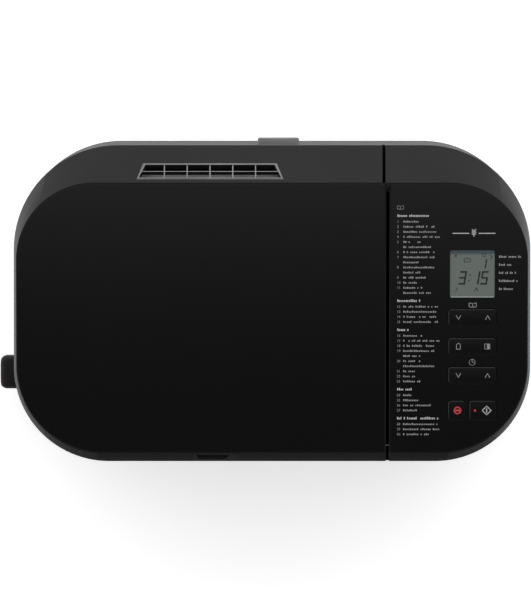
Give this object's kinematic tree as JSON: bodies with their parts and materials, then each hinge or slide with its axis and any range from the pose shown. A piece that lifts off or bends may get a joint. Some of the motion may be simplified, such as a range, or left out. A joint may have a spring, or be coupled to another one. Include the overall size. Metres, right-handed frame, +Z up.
{
  "type": "bread machine",
  "caption": "Upright bread machine with a rounded black case, sloping gloss lid hinged at the rear, keyed control panel, and a lift-out pan with a kneading blade.",
  "frame": {"origin": "middle of the overall box on the table, under the feet", "axes": "+X to the user's right, towards the control panel; +Y to the rear, towards the lid's hinge; +Z up"},
  "size_m": [0.412, 0.2484, 0.362],
  "materials": {
    "case_plastic": "fine matte grain, charcoal black",
    "crown_plastic": "satin grain, charcoal black",
    "gloss_panel": "deep gloss black",
    "key_plastic": "satin black with pale printed symbols",
    "inner_plastic": "matte black",
    "carrier_plastic": "natural white",
    "foot_rubber": "matte",
    "seal_rubber": "satin silicone",
    "display_glass": "grey-green display",
    "display_frame": "satin",
    "chamber_steel": "coated sheet",
    "bracket_steel": "zinc plated",
    "pin_steel": "bright",
    "cast_metal": "cast",
    "bronze_bush": "sintered bronze",
    "heater_sheath": "oxidised sheath",
    "insulator": "unglazed",
    "belt_rubber": "ribbed",
    "pulley_plastic": "glass-filled",
    "motor_iron": "laminated, copper windings",
    "rotor_iron": "laminated",
    "capacitor_case": "moulded sleeve",
    "circuit_board": "solder-masked laminate",
    "transformer_core": "varnished",
    "wire_sleeve": "sleeved wires",
    "pan_coating": "non-stick coating",
    "pan_fittings": "die cast",
    "grip_plastic": "heat-proof grip",
    "blade_coating": "non-stick coating"
  },
  "bodies": {
    "base": {"base_plate": "inner_plastic", "rubber_feet": "foot_rubber", "base_screws": "bracket_steel", "outer_case": "case_plastic", "top_deck": "inner_plastic", "control_housing": "crown_plastic", "control_fascia": "gloss_panel", "key_carrier": "carrier_plastic", "rear_spacer": "case_plastic", "cord_gland": "case_plastic", "oven_chamber": "chamber_steel", "chamber_brackets": "bracket_steel", "heat_shield": "chamber_steel", "heater_element": "heater_sheath", "heater_insulators": "insulator", "temperature_sensor": "pin_steel", "pan_clips": "bracket_steel", "drive_housing": "cast_metal", "shaft_bushes": "bronze_bush", "drive_belt": "belt_rubber", "motor_bracket": "bracket_steel", "motor_stator": "motor_iron", "motor_end_frames": "cast_metal", "run_capacitor": "capacitor_case", "power_board": "circuit_board", "transformer": "transformer_core", "wiring_harness": "wire_sleeve", "control_board": "circuit_board", "lcd_module": "display_frame", "lcd_window": "display_glass", "tact_switches": "carrier_plastic", "hinge_brackets": "inner_plastic", "hinge_pins": "pin_steel"},
    "lid": {"lid_shell": "crown_plastic", "lid_top_panel": "gloss_panel", "lid_frame": "inner_plastic", "steam_vent_grille": "inner_plastic", "lid_inner_plate": "chamber_steel", "lid_seal": "seal_rubber", "lid_screws": "bracket_steel"},
    "pan": {"bread_pan": "pan_coating", "pan_base": "pan_fittings", "pan_bushing": "bronze_bush", "pan_seal": "seal_rubber", "pan_handle_ears": "pan_fittings"},
    "handle": {"pan_handle": "pin_steel", "handle_grip": "grip_plastic"},
    "pan_drive": {"pan_shaft": "pin_steel", "driven_coupling": "pan_fittings"},
    "blade": {"kneading_blade": "blade_coating"},
    "drive": {"drive_shaft": "pin_steel", "drive_coupling": "pan_fittings", "large_pulley": "pulley_plastic"},
    "motor": {"motor_rotor": "rotor_iron", "small_pulley": "pulley_plastic"},
    "menu_key": {"menu_rocker": "key_plastic"},
    "option_key": {"option_rocker": "key_plastic"},
    "timer_key": {"timer_rocker": "key_plastic"},
    "stop": {"stop_key": "key_plastic"},
    "start": {"start_key": "key_plastic"}
  },
  "joints": [
    {"name": "lid_hinge", "type": "hinge", "parent": "base", "child": "lid", "pos_m": [-0.04935, 0.1142, 0.306], "axis": [-1, 0, 0], "range_deg": [0, 95]},
    {"name": "pan_lift", "type": "slide", "parent": "base", "child": "pan", "axis": [0, 0, 1], "range_m": [0, 0.012]},
    {"name": "pan_handle_swing", "type": "hinge", "parent": "pan", "child": "handle", "pos_m": [-0.04935, -0.0025, 0.216], "axis": [-1, 0, 0], "range_deg": [0, 180]},
    {"name": "drive_spin", "type": "hinge", "parent": "base", "child": "drive", "pos_m": [-0.04935, -0.0025, 0.035], "axis": [0, 0, 1], "continuous": true},
    {"name": "motor_spin", "type": "hinge", "parent": "base", "child": "motor", "pos_m": [0.15025, -0.0025, 0.035], "axis": [0, 0, 1], "continuous": true},
    {"name": "pan_shaft_spin", "type": "hinge", "parent": "pan", "child": "pan_drive", "pos_m": [-0.04935, -0.0025, 0.098], "axis": [0, 0, 1], "continuous": true},
    {"name": "blade_lift", "type": "slide", "parent": "pan_drive", "child": "blade", "axis": [0, 0, 1], "range_m": [0, 0.025]},
    {"name": "menu_rock", "type": "hinge", "parent": "base", "child": "menu_key", "pos_m": [0.1613, -0.01178, 0.33655], "axis": [0, 0.9847, 0.1742], "range_deg": [-2, 2], "stiffness_Nm_per_rad": 0.6},
    {"name": "option_rock", "type": "hinge", "parent": "base", "child": "option_key", "pos_m": [0.1613, -0.03413, 0.3326], "axis": [0, 0.9847, 0.1742], "range_deg": [-2, 2], "stiffness_Nm_per_rad": 0.6},
    {"name": "timer_rock", "type": "hinge", "parent": "base", "child": "timer_key", "pos_m": [0.1613, -0.05649, 0.32864], "axis": [0, 0.9847, 0.1742], "range_deg": [-2, 2], "stiffness_Nm_per_rad": 0.6},
    {"name": "stop_press", "type": "slide", "parent": "base", "child": "stop", "axis": [0, 0.1742, -0.9847], "range_m": [0, 0.0008], "stiffness_N_per_m": 1500},
    {"name": "start_press", "type": "slide", "parent": "base", "child": "start", "axis": [0, 0.1742, -0.9847], "range_m": [0, 0.0008], "stiffness_N_per_m": 1500}
  ],
  "couplings": [
    {"joint": "motor_spin", "follows": "drive_spin", "ratio": 4.5122},
    {"joint": "pan_shaft_spin", "follows": "drive_spin", "ratio": 1}
  ]
}
